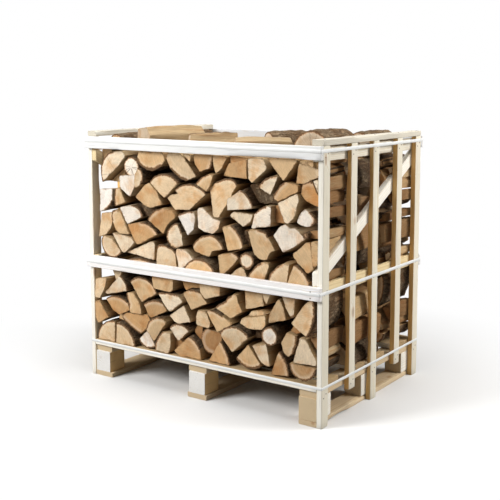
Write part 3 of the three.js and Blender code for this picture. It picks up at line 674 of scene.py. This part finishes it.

# Spacing of the points round a section, and of those inside it, in the stack and in the heap, and
# where along the log the section is repeated.
ROW_STEP, ROW_PITCH = 7.5, 9.0
HEAP_STEP, HEAP_PITCH = 4.5, 5.0
ROW_STATIONS = np.array([0, 0.006, 0.03, 0.075, 0.15, 0.26, 0.40, 0.58, 0.78, 0.994, 1.0])
HEAP_STATIONS = np.unique(np.concatenate([[0, 0.006, 0.994, 1], np.linspace(0, 1, 25)]))


def arc_radius(chord, rise):
    return rise / 2 + chord ** 2 / (8 * rise)


def outline_points(corners, step, z_scale):
    """Points every few millimetres round an outline, and whether a bark arc runs on from each."""
    points, bark = [], []
    for (x, z, *rise), (next_x, next_z, *_) in zip(corners, corners[1:] + corners[:1]):
        start, run = np.array([x, z], float), np.array([next_x - x, next_z - z], float)
        chord = np.linalg.norm(run)
        out = np.array([run[1], -run[0]]) / chord
        radius = arc_radius(chord, rise[0]) if rise else 0
        half = math.asin(min(1, chord / (2 * radius))) if rise else 0
        count = max(1, round((2 * half * radius if rise else chord) / step))
        along, beyond = np.arange(count) / count, np.zeros(count)
        if rise:
            angle = half * (2 * along - 1)
            along = 0.5 + radius * np.sin(angle) / chord
            beyond = radius * np.cos(angle) - radius + rise[0]
        points.append(start + np.outer(along, run) + np.outer(beyond, out))
        bark += [bool(rise)] * count
    return np.vstack(points) * [1, z_scale], np.array(bark)


def pith_of(corners, z_scale):
    """The middle of the trunk: the centre of the widest bark arc, or beyond the sharpest corner."""
    flat = np.array([corner[:2] for corner in corners], float)
    before, after = np.roll(flat, 1, 0) - flat, np.roll(flat, -1, 0) - flat
    sides = np.linalg.norm(after, axis=1)
    arcs = [i for i, corner in enumerate(corners) if len(corner) > 2]
    if arcs:
        i = max(arcs, key=lambda arc: sides[arc])
        inward = np.array([-after[i][1], after[i][0]]) / sides[i]
        rise = corners[i][2]
        found = flat[i] + after[i] / 2 + inward * (arc_radius(sides[i], rise) - rise)
    else:
        tip = flat[((before * after).sum(1) / np.linalg.norm(before, axis=1) / sides).argmax()]
        away = tip - flat.mean(0)
        found = tip + away / np.linalg.norm(away) * PITH_BEYOND
    return found * [1, z_scale]


def cut_outline(points, bark, way, limit, step):
    """Cuts off what lies beyond a line across an outline: limit along the direction way."""
    beyond = points @ np.array(way, float) - limit
    if (beyond <= 0).all():
        return points, bark
    kept, flags = [], []
    for i, (spot, barky) in enumerate(zip(points, bark)):
        k = (i + 1) % len(points)
        if beyond[i] <= 0:
            kept.append(spot)
            flags.append(barky)
        if (beyond[i] <= 0) != (beyond[k] <= 0):
            kept.append(spot + (points[k] - spot) * (beyond[i] / (beyond[i] - beyond[k])))
            flags.append(barky and beyond[k] <= 0)
    return fill_gaps(np.array(kept).reshape(-1, 2), flags, step)


def fill_gaps(points, bark, step):
    """Puts points between those of an outline that are more than two steps apart."""
    filled, flags = [], []
    for spot, after, barky in zip(points, np.roll(points, -1, 0), bark):
        count = max(1, round(np.linalg.norm(after - spot) / step / 1.4))
        filled += [spot + (after - spot) * t for t in np.arange(count) / count]
        flags += [barky] * count
    return np.array(filled).reshape(-1, 2), np.array(flags, bool)


def soften(points, bark):
    """Drops points that lie almost on the one before, and softens the corners a little."""
    keep = np.linalg.norm(points - np.roll(points, 1, 0), axis=1) > 2.0
    points, bark = points[keep], bark[keep]
    return 0.62 * points + 0.19 * (np.roll(points, 1, 0) + np.roll(points, -1, 0)), bark


def log_section(corners, rng, top=None, mirror=False, step=ROW_STEP, z_scale=LOG_Z):
    """A log's outline as points, where it has bark, and its pith. A log at the top of the stack is
    cut off, and a steep cut that falls towards the left has bark on it."""
    points, bark = outline_points(corners, step, z_scale)
    pith = pith_of(corners, z_scale)
    if mirror:
        points, bark, pith = points[::-1] * [-1, 1], np.roll(bark[::-1], -1), pith * [-1, 1]
    if top is not None:
        steep, uneven = (1, 3) if top == FRONT_TOP else (3, 8)
        slope = rng.uniform(-0.05, 0.05) * steep
        level = top - abs(rng.normal(0, uneven)) - abs(slope) * 60
        limit = level + slope * points[:, 0].mean()
        points, bark = cut_outline(points, bark, (slope, 1), limit, step)
        if slope > 0.05:
            crown = points[:, 1] + slope * points[:, 0] > limit - 1
            bark = bark | (crown & np.roll(crown, -1))
    for way in (1, 0), (-1, 0):
        points, bark = cut_outline(points, bark, way, STACK_X, step)
    return *soften(points, bark), pith


def nearest(points, starts, ends):
    """Distance from each point to the nearest of the segments."""
    run = ends - starts
    t = ((points[:, None] - starts) * run).sum(2) / np.maximum((run * run).sum(1), 1e-9)
    foot = starts + np.clip(t, 0, 1)[..., None] * run
    return np.linalg.norm(points[:, None] - foot, axis=2).min(1)


def inside(points, ring):
    """Which points lie inside a closed ring."""
    (x0, z0), (x1, z1) = ring.T, np.roll(ring, -1, 0).T
    x, z = points[:, :1], points[:, 1:]
    crosses = (z0 > z) != (z1 > z)
    with np.errstate(divide="ignore", invalid="ignore"):
        at = x0 + (z - z0) / (z1 - z0) * (x1 - x0)
    return (crosses & (x < at)).sum(1) % 2 == 1


def cap_points(ring, pitch):
    """Points for the inside of a log's end, on a triangular grid that keeps off its outline."""
    low, high = ring.min(0), ring.max(0)
    grid = []
    for i, z in enumerate(np.arange(low[1], high[1], pitch * 0.87)):
        across = np.arange(low[0] + i % 2 * pitch / 2, high[0], pitch)
        grid.append(np.column_stack([across, np.full(len(across), z)]))
    grid = np.vstack(grid)
    grid = grid[inside(grid, ring)]
    return grid[nearest(grid, ring, np.roll(ring, -1, 0)) > pitch * 0.55]


def triangulate(ring, inner):
    """Triangles over a ring and the points inside it, anticlockwise, by index into both in turn."""
    every = np.vstack([ring, inner])
    made = delaunay_2d_cdt([Vector(p) for p in every], [], [list(range(len(ring)))], 1, 1e-5)
    source = [ids[0] if ids else None for ids in made[3]]
    triangles = []
    for face in made[2]:
        a, b, c = (source[i] for i in face)
        area = np.cross(every[b] - every[a], every[c] - every[a])
        triangles.append([a, b, c] if area > 0 else [a, c, b])
    return triangles


class SplitLog:
    """One split log, in millimetres: x across, y up and z back from its outer end. A packed log
    is one of the stack, and looser where it lies at the crate's sides."""

    def __init__(self, section, rng, length, packed, stations, pitch):
        self.points, self.bark, self.pith = section
        self.many, self.centre = len(self.points), self.points.mean(0)
        self.length, self.packed, self.stations = length, packed, stations
        self.seed = rng.uniform(0, 40)
        self.sway, self.bow = rng.uniform(-DRIFT, DRIFT, 2), rng.uniform(-2.0, 2.0, 2)
        self.shrink = 0.0
        if packed and np.abs(self.points[:, 0]).max() > SIDE_CLEAR_X - 12:
            inward = -np.sign(self.centre[0])
            self.length -= rng.uniform(4, 62)
            self.shrink = rng.uniform(0.03, 0.15)
            self.sway = np.array([inward * rng.uniform(0, 20), rng.uniform(-8, 5)])
            self.bow = np.array([inward * rng.uniform(0, 9), rng.uniform(-4, 4)])
        self.tilt, self.back_tilt = rng.uniform(-0.035, 0.035, (2, 2))
        self.inner = cap_points(self.points, pitch)

    def noise(self, points, size, offset=0):
        return value_noise(points / size, self.seed + offset)

    def layer(self, flat, back, pushed=0.0):
        """Points of the section, pushed out by some way and carried back from the end, with the
        log's own bends and the slant and roughness of its ends."""
        share = back / self.length
        spot = flat + pushed
        inward = (self.centre - spot) * self.shrink * ease(back, 2, 70)
        spot = spot + inward + self.sway * share + self.bow * math.sin(math.pi * share)
        from_centre = flat - self.centre
        lean = from_centre @ self.tilt * (1 - share) + from_centre @ self.back_tilt * share
        rough = self.noise(np.column_stack([flat, np.full(len(flat), self.seed)]), [26, 26, 1])
        sawn = (share < 0.02) - float(share > 0.98)
        return np.column_stack([spot, back + lean + rough * 0.9 * sawn])

    def relief(self, back):
        """How far each side point stands out: rough ridges of bark, or ripples of split wood."""
        spot = np.column_stack([self.points, np.full(self.many, back)])
        settled = ease(min(back, self.length - back), 0, 55)
        ripple = self.noise(spot, [10, 10, 85]) + 1.5 * self.noise(spot, [27, 27, 150], 3)
        ridge = np.abs(self.noise(spot, [12, 12, 36], 5)) * 2.2 - 0.6
        ridge = ridge * 2.4 + self.noise(spot, [24, 24, 24], 9) * 1.4
        frayed = self.noise(spot, [8, 8, 40], 12) * 1.3
        split = frayed + ripple * (1.0 if self.packed else 2.0) * (0.75 + 0.35 * settled)
        barky = self.bark | np.roll(self.bark, 1)
        return np.where(barky, ridge * (0.9 + 0.1 * settled), split) + SWELL * settled

    def body(self):
        """All points: a ring at each station, then the insides of the front and the rear end."""
        out, layers = outward(self.points), []
        for share in self.stations:
            back = share * self.length
            worn = -EDGE_ROUND if share in (self.stations[0], self.stations[-1]) else 0.0
            layers.append(self.layer(self.points, back, out * (self.relief(back) + worn)[:, None]))
        return np.vstack(layers + [self.layer(self.inner, 0), self.layer(self.inner, self.length)])

    def faces(self, end):
        """The faces and the material of each, end being that of both ends."""
        faces = tube(len(self.stations), self.many)
        kinds = [BARK if barky else SIDE for barky in self.bark] * (len(self.stations) - 1)
        last, total = (len(self.stations) - 1) * self.many, len(self.stations) * self.many
        for a, b, c in triangulate(self.points, self.inner):
            near = [v if v < self.many else total + v - self.many for v in (a, b, c)]
            far = [last + v if v < self.many else total + len(self.inner) + v - self.many
                   for v in (c, b, a)]
            faces += [near, far]
            kinds += [end, end]
        return faces, kinds

    def depth(self, body, top, shade_extra_depth):
        """Distance to the bark and, on the ends, to the rim, and the painted light: painted shade deep
        in the stack, less of it at its open sides and on its top away from the outer ends."""
        ends = np.roll(self.points, -1, 0)
        depth = np.zeros((len(body), 3))
        total = len(self.stations) * self.many
        depth[:, 0] = NO_BARK
        if self.bark.any():
            arcs = self.points[self.bark], ends[self.bark]
            rim = np.tile(nearest(self.points, *arcs), len(self.stations))
            depth[:, 0] = np.concatenate([rim, *[nearest(self.inner, *arcs)] * 2])
        depth[total:, 1] = np.tile(nearest(self.inner, self.points, ends), 2)
        depth[:, 2] = 1.0
        if self.packed:
            # Painted light on half the logs at the open sides and on the stack's top; the top stays in
            # painted shade near the outer ends, as under the front top board, and painted shade
            # deepens further into the stack.
            bright = 1.0 if self.seed % 2 > 1 else 0.1
            open_side = bright * ease(np.abs(body[:, 0]), *OPEN_SIDE_LIGHT)
            if top is not None:
                open_top = ease(body[:, 1], top - 18, top - 10) * ease(body[:, 2], 30, 80)
                open_side = np.maximum(open_side, open_top)
            deep = 0.10 + 0.34 * ease(body[:, 2] + shade_extra_depth, *STACK_SHADE_DEPTHS)
            depth[:, 2] = 1 - deep * (1 - open_side)
        return depth


def add_log(parts, section, rng, tint, length, place, packed=True, top=None, shade_extra_depth=0.0,
            band=PLAIN_BARK, checked=False, end=END):
    """Adds one split log, if enough of its section is left. place carries its points to their
    place in the crate."""
    if len(section[0]) < 6:
        return
    stations, pitch = (ROW_STATIONS, ROW_PITCH) if packed else (HEAP_STATIONS, HEAP_PITCH)
    log = SplitLog(section, rng, length, packed, stations, pitch)
    body = log.body()
    faces, kinds = log.faces(end)
    if np.linalg.det(place(np.eye(3)) - place(np.zeros((3, 3)))) > 0:
        faces = [face[::-1] for face in faces]
    warmth, level = rng.normal(0, 0.020), 1 + rng.normal(0, 0.05)
    shade = np.array(tint) * [level * (1 + warmth), level, level * (1 - 1.6 * warmth), 1]
    parts.add(place(body), faces, body - [*log.pith, 0], [log.seed, band * MM, checked],
              log.depth(body, top, shade_extra_depth), shade, kinds)


def brace_height(y):
    """Height of the lower edge of the right side's brace."""
    return BRACE_FOOT[1] + BRACE_RISE * (y - BRACE_FOOT[0])


def above_or_below(z, nodes):
    """How far heights are above or below the nearest of some boards."""
    spans = [[corner.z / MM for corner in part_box(node)] for node in nodes]
    return np.min([np.maximum(low - z, z - high) for low, high in spans], axis=0)


def keep_clear(points):
    """Presses logs in where the side frames' inner boards and braces and the front boards run."""
    x, y, z = points.T
    side = np.where(x < 0, -1.0, 1.0)
    low = brace_height(y * side)
    away = np.minimum(np.maximum(low - z, z - low - BRACE_WIDTH),
                      above_or_below(z, ["inner_board_middle_right", "inner_board_top_right"]))
    reach = SIDE_CLEAR_X + np.clip(1.5 * (away - 1), 0, STACK_X - SIDE_CLEAR_X)
    beside = above_or_below(z, ["board_front_middle", "board_front_top"])
    bulge = FACE_CLEAR_Y + np.clip(beside, 0, FACE_BULGE)
    return np.column_stack([side * np.minimum(np.abs(x), reach), np.clip(y, -bulge, bulge),
                            np.maximum(z, DECK_TOP)])


def log_row(name, node, facing, seed, top, mirror=False):
    """One row of the stack. facing is -1 where its log ends look out of the front, 1 out of the
    back, and 0 for the row between, whose ends are hidden."""
    parts = Parts()
    outer = ROW_Y if facing else LOG_LENGTH / 2
    way = facing or -1

    def stack(number, corners, tint, out, length, shade_extra_depth, **looks):
        def place(body):
            x, z, back = body.T
            return keep_clear(np.column_stack([x, way * (outer + out - back), z]))

        rng = np.random.default_rng(seed + number)
        add_log(parts, log_section(corners, rng, top, mirror), rng, OAK_TINTS[tint], length, place,
                top=top, shade_extra_depth=shade_extra_depth, **looks)

    # The painted shade counts the hidden middle row 60 mm deeper, and set-back logs a third of their
    # set-back deeper.
    for i, (log, corners) in enumerate(LOGS.items()):
        out = STANDING_OUT.get(log, 7 * math.sin(2.4 * i)) if facing else 0
        stack(i, corners, TINT_OF[log], out, LOG_LENGTH + out, 0.0 if facing else 60.0,
              band=BARK_BAND.get(log, PLAIN_BARK), checked=log in CHECKED)
    if facing:
        for i, (corners, back, kind) in enumerate(SET_BACK):
            tint, end = ("brown", BARK) if kind == "bark" else (kind, END)
            stack(500 + i, corners, tint, -back, LOG_LENGTH - back, back / 3, end=end)
    parts.piece(name, OAK, node, "oak")


def heap_log(name, seed):
    """One loose log on top of the stack."""
    (x, y), foot, turn, length, corners = HEAP[name]
    heading = math.radians(turn - 90)
    cos, sin = math.cos(heading), math.sin(heading)

    def place(body):
        across, up, back = body.T
        along = back - length / 2
        return np.column_stack([x + across * cos - along * sin, y + across * sin + along * cos,
                                foot + np.maximum(up, 0.3)])

    parts, rng = Parts(), np.random.default_rng(seed)
    bark = name.startswith("bark")
    add_log(parts, log_section(corners, rng, step=HEAP_STEP, z_scale=1.0), rng, OAK_TINTS["straw"],
            length, place, packed=False, band=7.0 if bark else 5.0, checked=bark)
    parts.piece(f"{name}_wood", OAK, name, "bark" if bark else "oak")


log_row("logs_front", "firewood_front", facing=-1, seed=100, top=FRONT_TOP)
log_row("logs_middle", "firewood_middle", facing=0, seed=3100, top=FLAT_TOP, mirror=True)
log_row("logs_rear", "firewood_rear", facing=1, seed=6100, top=FLAT_TOP)
for number, heap_name in enumerate(HEAP):
    heap_log(heap_name, seed=9100 + number)


# Crate and pallet boards

# The tint of a board, by the start of its name. The left frame's posts and slats get a lighter
# tint, painted light on their shaded inner faces; the left brace and the left inner top board get
# warmer, darker ones, painted shade.
BOARD_TINTS = {
    "board_front_top": "pearl", "board_": "white", "rail_": "dull", "post_left": "light",
    "slat_left": "light", "post_": "cream", "slat_": "cream", "inner_board_top_left": "gold",
    "inner_board_top": "cream", "inner_": "warm", "brace_left": "warm", "brace_": "bright",
    "block_right": "beige", "block_": "white", "runner_": "beige", "stringer_": "beige",
    "deck_": "tan",
}

# Boards whose narrow faces are tinted apart: the axis these look along, and how far out they get
# the bright tint instead of the golden one. The golden tint is painted shade, warm as from light
# thrown back by the oak, on the narrow faces inside; the bright tint is painted light on the outer
# narrow faces of the posts, slats and blocks.
NARROW_FACES = {"post_": (1, 400), "slat_": (1, 400), "block_": (0, 540), "deck_": (1, 0)}
EDGE_SHADE_GOLD = (1.0, 0.68, 0.32, 1)
SHADED = (0.74, 0.76, 0.79, 1)
ARRIS = 1.3
SECTION_STEP, BOARD_STEP = 13, 26
CORNERS = np.array([(1, -1), (1, 1), (-1, 1), (-1, -1)])


def board_tint(node):
    return SPRUCE_TINTS[next(tint for start, tint in BOARD_TINTS.items() if node.startswith(start))]


def section_points(width, height):
    """Points round a board's section, anticlockwise, and which arris each is at, or -1."""
    points, arris = [], []
    ends = CORNERS * [width / 2, height / 2]
    for i, (first, second) in enumerate(zip(ends, np.roll(ends, -1, 0))):
        run = second - first
        length = np.linalg.norm(run)
        count = max(1, round(length / SECTION_STEP))
        points += [first + run * t
                   for t in np.linspace(ARRIS / length, 1 - ARRIS / length, count + 1)]
        arris += [i] + [-1] * (count - 1) + [(i + 1) % 4]
    return np.array(points), np.array(arris)


def sawn_board(node, seed):
    """A board in place of a plain one: soft arrises with some wane, a sawn face and grain that
    runs through from face to end."""
    low, high = cad_span(node)
    size = high - low
    thin, wide, long = np.argsort(size, kind="stable")
    rng = np.random.default_rng(seed)
    section, arris = section_points(size[wide], size[thin])
    many, run = len(section), size[long]
    between = np.linspace(0, run, max(4, round(run / BOARD_STEP)) + 1)[1:-1]
    along = np.concatenate([[0, 1.2], between, [run - 1.2, run]])
    waney = rng.random(4) < 0.45
    layers = []
    for at in along:
        spot = np.column_stack([section, np.full(many, at)])
        inward = 0.16 + 0.14 * value_noise(spot / [14, 14, 60], seed)
        moved = section * (1 - inward[:, None] / np.abs(section).max(0) * 0.5)
        for i, sign in enumerate(CORNERS):
            wear = value_noise(np.array([[at / 7, i * 9.7, seed]]), seed)[0]
            wane = value_noise(np.array([[at / 170, i * 5.3, seed]]), seed + 1)[0]
            cut = 0.35 + 0.3 * wear + (max(0.0, wane - 0.25) * 7 if waney[i] else 0)
            moved[arris == i] -= sign * cut
        if at in (along[0], along[-1]):
            moved *= 1 - EDGE_ROUND / (size[[wide, thin]] / 2)
        layers.append(np.column_stack([moved, np.full(many, at - run / 2)]))
    body = np.vstack(layers)
    faces = solid(len(along), many)
    kinds = [0] * (len(faces) - 2) + [1, 1]
    turn = np.zeros((3, 3))
    turn[0, wide] = turn[1, thin] = turn[2, long] = 1
    if np.linalg.det(turn) < 0:
        faces = [face[::-1] for face in faces]

    pith_way, pith_far = rng.uniform(0, 2 * math.pi), rng.uniform(18, 85)
    lean = rng.uniform(-0.012, 0.012, 2)
    grain = body.copy()
    grain[:, 0] += pith_far * math.cos(pith_way) + lean[0] * body[:, 2]
    grain[:, 1] += pith_far * math.sin(pith_way) + lean[1] * body[:, 2]
    grain[:, 2] += rng.uniform(-3000, 3000)
    placed = body @ turn + (low + high) / 2
    tint = np.tile(board_tint(node), (len(body), 1))
    for start, (axis, outermost) in NARROW_FACES.items():
        if node.startswith(start):
            narrow = np.abs(section[:, 0 if wide == axis else 1]) * 2 > size[axis] - 0.02
            not_end = np.arange(len(body)) // many % (len(along) - 1) > 0
            narrow = np.tile(narrow, len(along)) & not_end
            in_shade = np.abs(placed[:, axis]) < outermost
            # Painted shade on the narrow faces inside, painted light on the outer ones.
            tint[narrow & in_shade] *= EDGE_SHADE_GOLD
            tint[narrow & ~in_shade] = SPRUCE_TINTS["bright"]
    if node == "board_rear_top":
        tint[placed[:, 1] < placed[:, 1].mean()] *= SHADED
    tint *= [*(1 + rng.normal(0, 0.018) + rng.normal(0, 0.004, 3)), 1]
    knotty = 0.12 if node.startswith(("board_", "block_")) else 0.5
    parts = Parts()
    parts.add(placed, faces, grain, [rng.uniform(0, 40), knotty, 0], tint=tint, kinds=kinds)
    slot = "pallet_wood" if node.startswith(("runner_", "deck_")) else "crate_wood"
    parts.piece(f"{node}_wood", SPRUCE, node, slot)


def brace(node, seed):
    """The slanting brace of a side frame, cut off level at both ends. The left one is the right
    one turned half a turn."""
    low, high = cad_span(node)
    way = 1 if node == "brace_right" else -1
    (y0, y1), z0, z1 = sorted((low[1] * way, high[1] * way)), low[2], high[2]

    def reach(z):
        return BRACE_FOOT[0] + (z - BRACE_FOOT[1]) / BRACE_RISE

    ring = [(reach(z0), z0), (y1, brace_height(y1)), (y1, z1), (reach(z1 - BRACE_WIDTH), z1),
            (y0, brace_height(y0) + BRACE_WIDTH), (y0, z0)]
    shape = bmesh.new()
    ends = [[shape.verts.new((x, y * way, z)) for y, z in ring] for x in (low[0], high[0])]
    shape.faces.new(ends[0])
    shape.faces.new(ends[1][::-1])
    for i in range(len(ring)):
        k = (i + 1) % len(ring)
        shape.faces.new((ends[0][k], ends[0][i], ends[1][i], ends[1][k]))
    bmesh.ops.recalc_face_normals(shape, faces=shape.faces)
    bmesh.ops.bevel(shape, geom=shape.edges[:], offset=1.1, segments=2, profile=0.6,
                    affect="EDGES")
    shape.verts.index_update()
    body = np.array([v.co for v in shape.verts])
    faces = [[v.index for v in face.verts] for face in shape.faces]
    rng = np.random.default_rng(seed)
    cos, sin = math.cos(math.atan(BRACE_RISE)), math.sin(math.atan(BRACE_RISE))
    y, z = body[:, 1] * way, body[:, 2]
    grain = np.column_stack([z * cos - y * sin - 700, body[:, 0] - way * 600,
                             y * cos + z * sin + rng.uniform(0, 900)])
    parts = Parts()
    parts.add(body, faces, grain, [rng.uniform(0, 40), 0.3, 0], tint=board_tint(node))
    parts.piece(f"{node}_wood", SPRUCE, node, "crate_wood", sharp=25)


for number, board_node in enumerate(sorted(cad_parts)):
    if board_node.startswith("brace_"):
        brace(board_node, seed=40 + number)
    elif not board_node.startswith(("strap_", "firewood_", "split_", "bark_")):
        sawn_board(board_node, seed=40 + number)


# Straps

STRAP_THICK = 0.9
STRAP_EDGE = 0.35
STRAP_CORNER, STRAP_CORNER_POINTS = 3.0, 5
STRAP_STEP = 40


def strap(node, seed):
    """A flat band drawn tight round the crate, a little uneven in height."""
    low, high = cad_span(node)
    half = (high[:2] - low[:2]) / 2 - STRAP_THICK / 2
    arcs = []
    for i, sign in enumerate(CORNERS):
        angles = np.linspace((i - 1) * math.pi / 2, i * math.pi / 2, STRAP_CORNER_POINTS)
        arcs.append(sign * (half - STRAP_CORNER)
                    + STRAP_CORNER * np.column_stack([np.cos(angles), np.sin(angles)]))
    path = []
    for arc, after in zip(arcs, arcs[1:] + arcs[:1]):
        run = after[0] - arc[-1]
        pieces = max(3, round(np.linalg.norm(run) / STRAP_STEP))
        path += [*arc, *(arc[-1] + run * t for t in np.linspace(0, 1, pieces + 1)[1:-1])]
    path = np.array(path)
    length = np.concatenate([[0], np.cumsum(np.linalg.norm(np.diff(path, axis=0), axis=1))])
    sag = value_noise(np.outer(length / 230, [1, 0, 0]), seed) * 0.8

    x, z = STRAP_THICK / 2, (high[2] - low[2]) / 2
    flat_x, flat_z = x - STRAP_EDGE, z - STRAP_EDGE
    ring = [(-x, -flat_z), (-flat_x, -z), (flat_x, -z), (x, -flat_z), (x, flat_z), (flat_x, z),
            (-flat_x, z), (-x, flat_z)]
    middle = (high[2] + low[2]) / 2
    body, grain = [], []
    for spot, away, at, dip in zip(path, outward(path), length, sag):
        for beyond, up in ring:
            body.append([*(spot + away * beyond), middle + up + dip])
            grain.append((up, beyond, at))
    parts = Parts()
    parts.add(np.array(body), tube(len(path), len(ring), closed=True), np.array(grain), [seed, 0, 0])
    parts.piece(f"{node}_band", STRAP, node, "strap_plastic", sharp=50)


for number, level in enumerate(("bottom", "middle", "top")):
    strap(f"strap_{level}", seed=7 + number)


# Nails

NAIL_RADIUS = 2.6
NAIL_SPOKES = 10
NAIL_X = 534
DECK_NAIL_Z = 119


def nail_places():
    """Head centre and the way it faces, for every nail that shows."""
    places = []
    for level in ("middle", "top"):
        (_, front, low), (_, _, high) = cad_span(f"board_front_{level}")
        for z in (low + 9, high - 17):
            places += [((x, -front, z), (0, 1, 0)) for x in (-NAIL_X, NAIL_X)]
            if level == "middle":
                places.append(((NAIL_X, front, z), (0, -1, 0)))
    side_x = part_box("post_right_1")[1].x / MM
    rail_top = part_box("rail_right")[1].z / MM
    heights = [sum(cad_span(f"inner_board_{level}_right"))[2] / 2 for level in ("middle", "top")]
    for side in (-1, 1):
        for node in ("post_right_1", "post_right_2", "post_right_3", "slat_right_1", "slat_right_2"):
            y = sum(cad_span(node))[1] / 2 * side
            places += [((side * side_x, y + shift, z + shift * 0.8), (side, 0, 0))
                       for z in (*heights, DECK_NAIL_Z) for shift in (-9, 8)]
            places.append(((side * (side_x - 12), y + 4, rail_top), (0, 0, 1)))
    return places


def nails():
    """All nail heads: flat discs with a soft rim, standing a little out of the wood."""
    parts = Parts()
    angles = np.arange(NAIL_SPOKES) * 2 * math.pi / NAIL_SPOKES
    for number, (spot, way) in enumerate(nail_places()):
        first = np.array([1.0, 0.0, 0.0] if way[2] else [0.0, 0.0, 1.0])
        second = np.cross(way, first)
        disc = np.outer(np.cos(angles), first) + np.outer(np.sin(angles), second)
        body = np.vstack([np.array(spot) + np.array(way) * out + NAIL_RADIUS * size * disc
                          for size, out in ((1.0, -1.0), (1.0, 0.25), (0.72, 0.5))])
        parts.add(body, solid(3, NAIL_SPOKES), body, [number, 0, 0])
    parts.piece("nail_heads", STEEL)


nails()


# Floor, light and camera

def area_light(name, spot, target, size, power, color):
    data = bpy.data.lights.new(name, "AREA")
    data.shape, data.size, data.energy, data.color = "SQUARE", size, power, color
    light = new_object(name, data)
    light.location = spot
    light.rotation_euler = (Vector(target) - Vector(spot)).to_track_quat("-Z", "Y").to_euler()


def surround():
    """A world that is white to the camera and gives the crate a little soft light."""
    n = Nodes(bpy.data.worlds.new("studio"))
    seen = n.add("ShaderNodeLightPath", output="Is Camera Ray")
    glow = n.add("ShaderNodeBackground", {"Color": (1.0, 0.99, 0.97, 1), "Strength": 0.13})
    white = n.add("ShaderNodeBackground", {"Color": (1, 1, 1, 1)})
    shader = n.add("ShaderNodeMixShader", {0: seen, 1: glow, 2: white})
    bpy.context.scene.world = n.surface(shader, "World")


def floor(reach=30):
    """A plain pale floor that runs out to white."""
    mesh = bpy.data.meshes.new("floor")
    mesh.from_pydata([(-reach, -reach, 0), (reach, -reach, 0), (reach, reach, 0), (-reach, reach, 0)],
                     [], [(0, 1, 2, 3)])
    n = material("floor")
    place = n.add("ShaderNodeTexCoord", output="Object")
    far = n.range(n.length(n.scaled(place, 1, 1, 0)), 0.85, 1.6)
    seen = n.add("ShaderNodeLightPath", output="Is Camera Ray")
    shade = n.mix(seen, (0.31, 0.31, 0.31, 1), (0.79, 0.795, 0.80, 1))
    pale = n.add("ShaderNodeBsdfDiffuse", {"Color": shade})
    white = n.add("ShaderNodeEmission", {"Color": (1, 1, 1, 1), "Strength": 1.0})
    mesh.materials.append(n.surface(n.add("ShaderNodeMixShader", {0: far * seen, 1: pale, 2: white})))
    new_object("floor", mesh)


def camera():
    data = bpy.data.cameras.new("camera")
    data.lens, data.sensor_width, data.shift_y = 65.72, 36, -0.12
    seat = new_object("camera", data)
    seat.location = (2.186, -3.165, 1.238)
    seat.rotation_euler = (math.radians(90 - 6.52), 0, math.radians(34.92))
    bpy.context.scene.camera = seat


surround()
area_light("front_light", (-2.2, -3.8, 2.9), (0, -0.4, 0.5), 2.0, 250, (1.0, 0.995, 0.98))
area_light("side_light", (3.8, 2.0, 2.2), (0.5, 0, 0.5), 1.8, 163, (1.0, 0.98, 0.95))
area_light("top_light", (0.3, -0.2, 4.0), (0.1, 0, 0), 3.0, 112, (1.0, 1.0, 1.0))
floor()
camera()
bpy.context.scene.view_settings.view_transform = "Standard"
